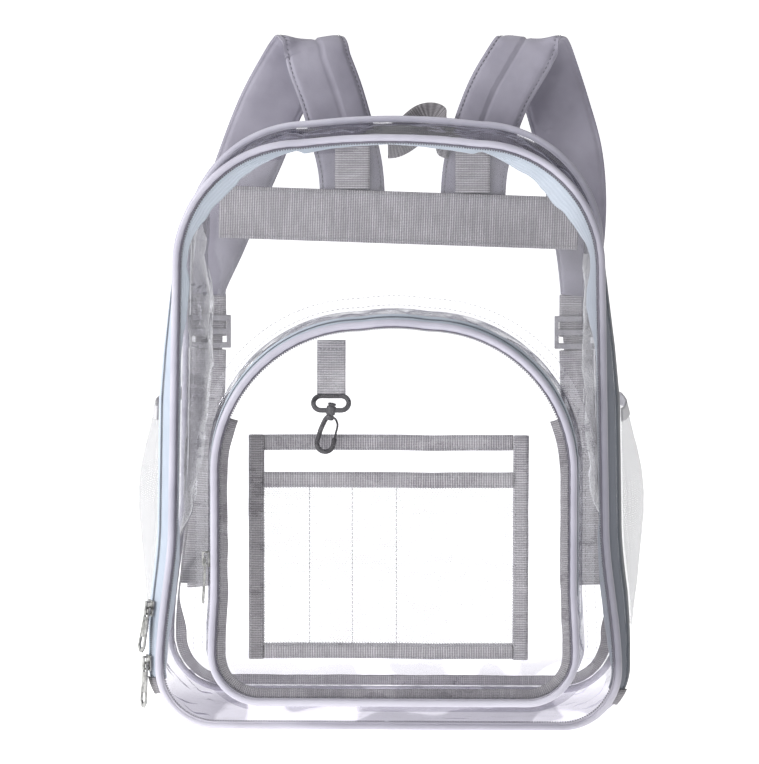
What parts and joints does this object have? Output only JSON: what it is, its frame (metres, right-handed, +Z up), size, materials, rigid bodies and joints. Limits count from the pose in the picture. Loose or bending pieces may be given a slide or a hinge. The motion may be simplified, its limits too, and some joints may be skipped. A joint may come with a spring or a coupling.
{
  "type": "clear backpack",
  "caption": "Clear film backpack with piped edges, a domed zip pocket with a mesh organiser and key hook, side mesh pockets and padded straps.",
  "frame": {"origin": "on the floor, on the flat foot of the gusset, near the middle of the body", "axes": "+Z up, the front with the domed pocket faces -Y, +X is to the right of someone who looks at the front"},
  "size_m": [0.3586, 0.258, 0.4787],
  "materials": {
    "clear_film": "clear soft PVC, glossy",
    "piping": "satin covered piping",
    "zip_tape": "woven zip tape",
    "zip_coil": "nylon coil",
    "binding": "ribbed binding tape",
    "webbing": "ribbed webbing",
    "strap_cloth": "smooth woven polyester over padding",
    "mesh_cloth": "fine open mesh",
    "dark_plastic": "satin moulded plastic",
    "grey_plastic": "satin moulded plastic",
    "nickel": "dull nickel plate"
  },
  "bodies": {
    "bag": {"front_panel": "clear_film", "back_panel": "clear_film", "gusset": "clear_film", "pocket_panel": "clear_film", "pocket_gusset": "clear_film", "organizer_backing": "clear_film", "front_piping": "piping", "back_piping": "piping", "pocket_piping": "piping", "zip_front_tape": "zip_tape", "zip_rear_tape": "zip_tape", "pocket_zip_front_tape": "zip_tape", "pocket_zip_rear_tape": "zip_tape", "front_seam_binding": "zip_tape", "zip_coil": "zip_coil", "pocket_zip_coil": "zip_coil", "back_seam_binding": "binding", "pocket_seam_binding": "binding", "side_hem_left": "binding", "side_hem_right": "binding", "zip_end_right": "binding", "zip_end_left": "binding", "organizer_top_band": "webbing", "organizer_foot_band": "webbing", "organizer_left_band": "webbing", "organizer_right_band": "webbing", "organizer_mesh_band": "webbing", "key_tab": "webbing", "back_band": "webbing", "back_strip_left": "webbing", "back_strip_right": "webbing", "strap_tab_left": "webbing", "strap_tab_right": "webbing", "lower_webbing_left": "webbing", "lower_webbing_right": "webbing", "strap_tail_left": "webbing", "strap_tail_right": "webbing", "top_handle": "webbing", "shoulder_strap_left": "strap_cloth", "shoulder_strap_right": "strap_cloth", "organizer_mesh": "mesh_cloth", "side_mesh_left": "mesh_cloth", "side_mesh_right": "mesh_cloth", "hook_ring": "dark_plastic", "ladder_lock_left": "grey_plastic", "ladder_lock_right": "grey_plastic", "slider_main_upper": "nickel", "slider_main_lower": "nickel", "slider_pocket": "nickel"},
    "hook": {"snap_hook": "dark_plastic"},
    "upper_pull": {"pull_main_upper": "nickel"},
    "lower_pull": {"pull_main_lower": "nickel"},
    "pocket_pull": {"pull_pocket": "nickel"}
  },
  "joints": [
    {"name": "hook_swivel", "type": "hinge", "parent": "bag", "child": "hook", "pos_m": [-0.0437, -0.08772, 0.22986], "axis": [0.1736, 0, 0.9848], "continuous": true},
    {"name": "upper_pull_turn", "type": "hinge", "parent": "bag", "child": "upper_pull", "pos_m": [-0.17414, -0.06785, 0.08561], "axis": [-0.5307, 0.8452, 0.0624], "range_deg": [-2, 150]},
    {"name": "lower_pull_turn", "type": "hinge", "parent": "bag", "child": "lower_pull", "pos_m": [-0.17589, -0.06759, 0.04614], "axis": [-0.4724, 0.8814, 0.0053], "range_deg": [-2, 110]},
    {"name": "pocket_pull_turn", "type": "hinge", "parent": "bag", "child": "pocket_pull", "pos_m": [-0.13113, -0.1097, 0.128], "axis": [-0.1118, 0.9937, 0], "range_deg": [-2, 150]}
  ]
}
